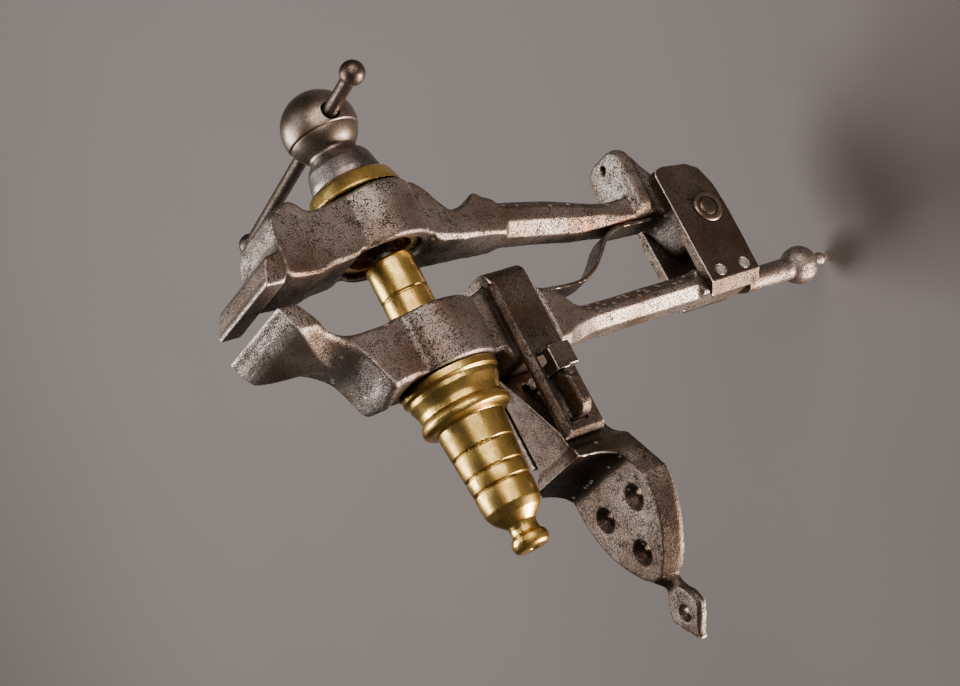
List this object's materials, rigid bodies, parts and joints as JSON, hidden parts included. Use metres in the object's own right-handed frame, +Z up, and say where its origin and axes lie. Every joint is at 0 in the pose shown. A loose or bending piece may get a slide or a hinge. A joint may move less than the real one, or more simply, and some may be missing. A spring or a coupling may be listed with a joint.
{
  "type": "leg vise",
  "caption": "Small forged steel leg vise with hinged jaw leg, brass screw box, sliding cross bar, wedged strap and leaf-shaped bench bracket.",
  "frame": {"origin": "middle of the bench bracket's flat underside, between the screw holes", "axes": "+X across the jaws, to the right of someone at the bench's handle side facing the bench's back edge; +Y from the handle towards the bench; +Z up, jaws at the top and foot at the bottom"},
  "size_m": [0.1099, 0.1829, 0.1945],
  "materials": {
    "forged_steel": "forged, dark brown-grey patina with worn edges",
    "turned_steel": "turned or filed, aged dull grey",
    "yellow_brass": "turned, aged and scratched"
  },
  "bodies": {
    "frame": {"fixed_leg": "forged_steel", "screw_box": "yellow_brass", "box_key": "turned_steel", "strap": "forged_steel", "bench_bracket": "forged_steel", "gib": "forged_steel", "cheek_left": "forged_steel", "cheek_right": "forged_steel", "rove_left": "turned_steel", "rove_right": "turned_steel", "pivot_pin": "turned_steel", "cheek_rivet_upper": "turned_steel", "cheek_rivet_lower": "turned_steel", "leaf_spring": "turned_steel", "spring_rivet": "turned_steel"},
    "moving_jaw": {"moving_leg": "forged_steel", "eye_bush": "yellow_brass"},
    "washer": {"thrust_washer": "yellow_brass"},
    "screw": {"screw": "turned_steel"},
    "bar": {"cross_bar": "turned_steel", "cross_bar_end": "turned_steel"},
    "wedge": {"wedge": "forged_steel"}
  },
  "joints": [
    {"name": "screw_turn", "type": "hinge", "parent": "washer", "child": "screw", "pos_m": [0, -0.1154, 0.0372], "axis": [0, 1, 0], "range_deg": [-1070, 365]},
    {"name": "screw_travel", "type": "slide", "parent": "frame", "child": "washer", "axis": [0, 1, 0], "range_m": [-0.0119, 0.00406]},
    {"name": "jaw_swing", "type": "hinge", "parent": "frame", "child": "moving_jaw", "pos_m": [0, -0.076, -0.0662], "axis": [-1, 0, 0], "range_deg": [-6.6, 2.3], "deforming": ["leaf_spring"]},
    {"name": "bar_slide", "type": "slide", "parent": "screw", "child": "bar", "axis": [0.9925, 0, -0.1219], "range_m": [-0.058, 0.016]},
    {"name": "wedge_slide", "type": "slide", "parent": "frame", "child": "wedge", "axis": [1, 0, 0], "range_m": [0, 0.012]}
  ],
  "couplings": [
    {"joint": "screw_travel", "follows": "screw_turn", "m_per_rad": 0.00063662},
    {"joint": "jaw_swing", "follows": "screw_turn", "ratio": 0.00604}
  ]
}
